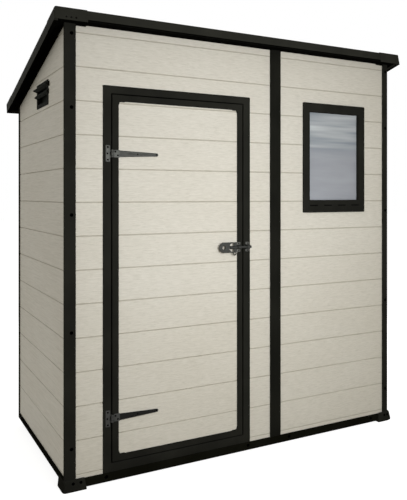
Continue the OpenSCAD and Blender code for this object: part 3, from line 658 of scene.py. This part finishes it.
def strap_blade(root_x, tip_x, root_h, back, thick):
    """A blade along X on a grid: its half height falls in a straight line from the root to the tip's
    radius and then follows the tip's circle, and each section is a superellipse of power 6."""
    along = np.concatenate([np.linspace(root_x, tip_x - STRAP_TIP_R, 12),
                            tip_x - STRAP_TIP_R + STRAP_TIP_R * np.sin(np.linspace(0.2, 1.5, 8))])
    fall = (along - root_x) / (tip_x - STRAP_TIP_R - root_x)
    past = np.clip((along - tip_x + STRAP_TIP_R) / STRAP_TIP_R, 0, 1)
    half = np.where(fall <= 1, root_h + (STRAP_TIP_R - root_h) * fall, STRAP_TIP_R * np.sqrt(1 - past ** 2))
    turn = np.arange(32) * math.pi / 16
    power = 2 / 6
    z = np.sign(np.cos(turn)) * np.abs(np.cos(turn)) ** power
    y = np.sign(np.sin(turn)) * np.abs(np.sin(turn)) ** power
    rings = np.stack([np.repeat(along[:, None], len(turn), 1),
                      back - thick / 2 + np.outer(np.ones(len(along)), y) * thick / 2,
                      np.outer(half, z)], -1)
    return loft(rings)


def bead(start_x, end_x, half, y, rise):
    """A slim raised rib along X: half an ellipsoid, half high and rising by rise from depth y."""
    t = np.linspace(-1, 1, 17)
    swell = np.sqrt(np.clip(1 - t ** 4, 0, 1))
    turn = np.arange(16) * math.pi / 8
    x = (start_x + end_x) / 2 + (end_x - start_x) / 2 * t
    rings = np.stack([np.repeat(x[:, None], 16, 1), y - rise * np.outer(swell, np.sin(turn)),
                      half * np.outer(swell, np.cos(turn))], -1)[1:-1]
    return loft(rings)


def raised(surface, z):
    """A surface moved up by z."""
    points, faces = surface
    return points + [0, 0, z], faces


def hinge(level, plate_steel, strap_steel):
    """The two leaves of a strap hinge: a plate and knuckles on the jamb, and a knuckle, a broad root and
    a tapering blade with a pressed rib on the door."""
    jamb_low, jamb_high = edges_of(level + "_jamb_plate")
    strap_low, strap_high = edges_of(level + "_hinge_strap")
    pin_x, pin_y = strap_low[0] + KNUCKLE_R, strap_low[1] + KNUCKLE_R
    z = (jamb_low[2] + jamb_high[2]) / 2
    back = jamb_high[1]
    face = back - PLATE_T
    barrel_h, mid_h = strap_high[2] - strap_low[2], 15 * MM
    outer_h = (barrel_h - mid_h) / 2 - MM
    chamfer = 0.8 * MM

    def knuckle(height):
        """A barrel round the pin with a chamfer at both ends."""
        return turned([(KNUCKLE_R - chamfer, 0), (KNUCKLE_R, chamfer), (KNUCKLE_R, height - chamfer),
                       (KNUCKLE_R - chamfer, height)])

    plate_x = pin_x - KNUCKLE_R - 2 * MM
    jamb_parts = [plate((jamb_low[0], jamb_low[2]), (plate_x, jamb_high[2]), 4 * MM, back, face, MM)]
    for low in (strap_low[2], strap_high[2] - outer_h):
        jamb_parts.append(aimed(knuckle(outer_h), (0, 0, 1), (pin_x, pin_y, low)))
        jamb_parts.append(plate((plate_x - 2 * MM, low), (pin_x, low + outer_h), MM, back, face, 0.6 * MM))
    jamb_parts.append(aimed(turned([(2.5 * MM, 0), (2.5 * MM, barrel_h)]), (0, 0, 1),
                            (pin_x, pin_y, strap_low[2])))
    piece(level + "_jamb_plate_formed", joined(jamb_parts), plate_steel,
          replaced=[level + "_jamb_plate"])
    plate_mid = (jamb_low[0] + plate_x) / 2
    screws(level + "_jamb_plate_screws", 4 * MM, 1.2 * MM,
           [(plate_mid, face, jamb_low[2] + 9 * MM), (plate_mid - 2 * MM, face, z),
            (plate_mid, face, jamb_high[2] - 9 * MM)], (0, -1, 0))

    root_x, root_end = pin_x + KNUCKLE_R + 2 * MM, pin_x + 34.5 * MM
    tip_x = strap_high[0]
    root = plate((root_x, strap_low[2]), (root_end, strap_high[2]), 2.5 * MM, back, face - 0.6 * MM, MM)
    neck = plate((pin_x + 2.5 * MM, z - mid_h / 2), (root_x + 2 * MM, z + mid_h / 2), MM, back, face,
                 0.6 * MM)
    blade = raised(strap_blade(root_end - 3 * MM, tip_x, 14.5 * MM, back, PLATE_T), z)
    ribs = [raised(bead(root_end + a * MM, root_end + b * MM, 2.6 * MM, face, 1.1 * MM), z)
            for a, b in ((30, 74), (86, 130))]
    middle = aimed(knuckle(mid_h), (0, 0, 1), (pin_x, pin_y, z - mid_h / 2))
    piece(level + "_hinge_root_formed", joined([middle, neck, root]), plate_steel, body="door",
          replaced=[level + "_hinge_strap"])
    piece(level + "_hinge_blade_formed", joined([blade, *ribs]), strap_steel, body="door")
    screws(level + "_hinge_root_screws", 4 * MM, 1.2 * MM,
           [(root_x + 7 * MM, face - 0.6 * MM, z + 8 * MM),
            (root_end - 9 * MM, face - 0.6 * MM, z - 7 * MM)], (0, -1, 0), body="door")
    screws(level + "_hinge_blade_screws", 3.4 * MM, 1.2 * MM,
           [(root_end + 80 * MM, face, z), (tip_x - STRAP_TIP_R - MM, face, z)], (0, -1, 0), body="door")


hinge("upper", ZINC, STRAP_STEEL)
# The lower hinge takes the darker copies: painted shade.
hinge("lower", SHADED_ZINC, SHADED_STRAP)


# ------------------------------------------------------------------ latch

def latch():
    """The bolt with its pull plate, the guide on the door and the keep on the jamb, each with ears in a
    paler copy of the latch steel: painted light where the flat ears catch it.
    """
    rounded_copies(["slide_bolt"], 0.8 * MM, DARK_STEEL, "latch_steel", body="bolt")
    for node, body in (("bolt_guide", "door"), ("latch_keep", "shed")):
        low, high = edges_of(node)
        rounded_copies([node], 0.8 * MM, DARK_STEEL, "latch_steel", body=body)
        z = (low[2] + high[2]) / 2
        x = (low[0] + high[0]) / 2
        face = high[1] - PLATE_T
        # Painted light: the ears take the paler copy of the latch steel.
        ears = [plate((low[0], bottom), (high[0], top), 3 * MM, high[1], face - 0.4 * MM, 0.8 * MM)
                for bottom, top in ((z + 10 * MM, high[2]), (low[2], z - 10 * MM))]
        piece(node + "_ears", joined(ears), LIT_EAR_STEEL, body)
        screws(node + "_screws", 3 * MM, MM,
               [(x, face - 0.4 * MM, high[2] - 6 * MM), (x, face - 0.4 * MM, low[2] + 6 * MM)], (0, -1, 0),
               body=body)


latch()


# ------------------------------------------------------------------ studio

def shown_rays(nodes, links):
    """1 for the rays that meet the background as it shows: the camera's, and those off gloss or
    through glass. 0 for the rays that carry light on to the shed."""
    path = nodes.new("ShaderNodeLightPath")
    shown = path.outputs["Is Camera Ray"]
    for other in ("Is Glossy Ray", "Is Transmission Ray"):
        either = nodes.new("ShaderNodeMath")
        either.operation = "MAXIMUM"
        links.new(shown, either.inputs[0])
        links.new(path.outputs[other], either.inputs[1])
        shown = either.outputs[0]
    return shown


def studio():
    """A world that shows as white and lights the shed with a dimmer, warmer level."""
    world = bpy.data.worlds.new("studio")
    bpy.context.scene.world = world
    world.use_nodes = True
    nodes, links = world.node_tree.nodes, world.node_tree.links
    light = nodes["Background"]
    light.inputs["Color"].default_value = (1.0, 0.965, 0.87, 1)
    light.inputs["Strength"].default_value = 0.39
    shown = nodes.new("ShaderNodeBackground")
    shown.inputs["Color"].default_value = (1, 1, 1, 1)
    shown.inputs["Strength"].default_value = 1.0
    mix = nodes.new("ShaderNodeMixShader")
    links.new(shown_rays(nodes, links), mix.inputs["Fac"])
    links.new(light.outputs[0], mix.inputs[1])
    links.new(shown.outputs[0], mix.inputs[2])
    links.new(mix.outputs[0], nodes["World Output"].inputs["Surface"])


def studio_floor():
    """A wide floor at Z = 0 that shows as white, apart from the shed's soft shadow."""
    reach = 30.0
    mesh = bpy.data.meshes.new("studio_floor")
    mesh.from_pydata([(-reach, -reach, 0), (reach, -reach, 0), (reach, reach, 0), (-reach, reach, 0)], [],
                     [(0, 1, 2, 3)])
    floor = bpy.data.objects.new("studio_floor", mesh)
    bpy.context.scene.collection.objects.link(floor)
    made = bpy.data.materials.new("studio floor")
    made.use_nodes = True
    nodes, links = made.node_tree.nodes, made.node_tree.links
    nodes.remove(nodes["Principled BSDF"])
    plain = nodes.new("ShaderNodeBsdfDiffuse")
    plain.inputs["Color"].default_value = (0.205, 0.175, 0.095, 1)
    pale = nodes.new("ShaderNodeBsdfDiffuse")
    pale.inputs["Color"].default_value = (0.45, 0.45, 0.45, 1)
    glow = nodes.new("ShaderNodeEmission")
    glow.inputs["Strength"].default_value = 0.86
    white = nodes.new("ShaderNodeAddShader")
    mix = nodes.new("ShaderNodeMixShader")
    links.new(pale.outputs[0], white.inputs[0])
    links.new(glow.outputs[0], white.inputs[1])
    links.new(shown_rays(nodes, links), mix.inputs["Fac"])
    links.new(plain.outputs[0], mix.inputs[1])
    links.new(white.outputs[0], mix.inputs[2])
    links.new(mix.outputs[0], nodes["Material Output"].inputs["Surface"])
    mesh.materials.append(made)


COOL = (0.97, 0.985, 1.0)  # lamps a little bluer than the warm world


def lamp(name, place, aim, size, power, colour=(1.0, 1.0, 1.0)):
    """A square area lamp at a place, facing a point."""
    data = bpy.data.lights.new(name, "AREA")
    data.shape = "SQUARE"
    data.size = size
    data.energy = power
    data.color = colour
    made = bpy.data.objects.new(name, data)
    bpy.context.scene.collection.objects.link(made)
    back = np.array(place, float) - np.array(aim, float)
    made.location = place
    made.rotation_euler = (math.acos(back[2] / np.linalg.norm(back)), 0, math.atan2(back[0], -back[1]))
    return made


def camera():
    """Level at eye height left of the shed, turned towards its front, with the frame shifted."""
    data = bpy.data.cameras.new("camera")
    data.sensor_width = 36.0
    data.lens = 48.17
    data.shift_x = -0.1574
    data.shift_y = -0.1098
    made = bpy.data.objects.new("camera", data)
    bpy.context.scene.collection.objects.link(made)
    made.location = (-1.5502, -3.3550, 1.2351)
    made.rotation_euler = (math.radians(90), 0, math.radians(-31.563))
    bpy.context.scene.camera = made


studio()
studio_floor()
lamp("front lamp", (-0.1, -2.25, 1.26), (-0.1, -0.5, 1.15), 1.0, 28, COOL)
lamp("side lamp", (-4.5, -0.2, 1.0), (-0.9, 0.0, 1.1), 2.0, 27, COOL)
lamp("rear lamp", (1.0, 3.2, 1.5), (0.1, 0.5, 1.1), 2.0, 55)
lamp("right lamp", (3.6, 0.1, 1.4), (0.9, 0.0, 1.1), 2.0, 30)
camera()
bpy.context.scene.view_settings.view_transform = "Standard"
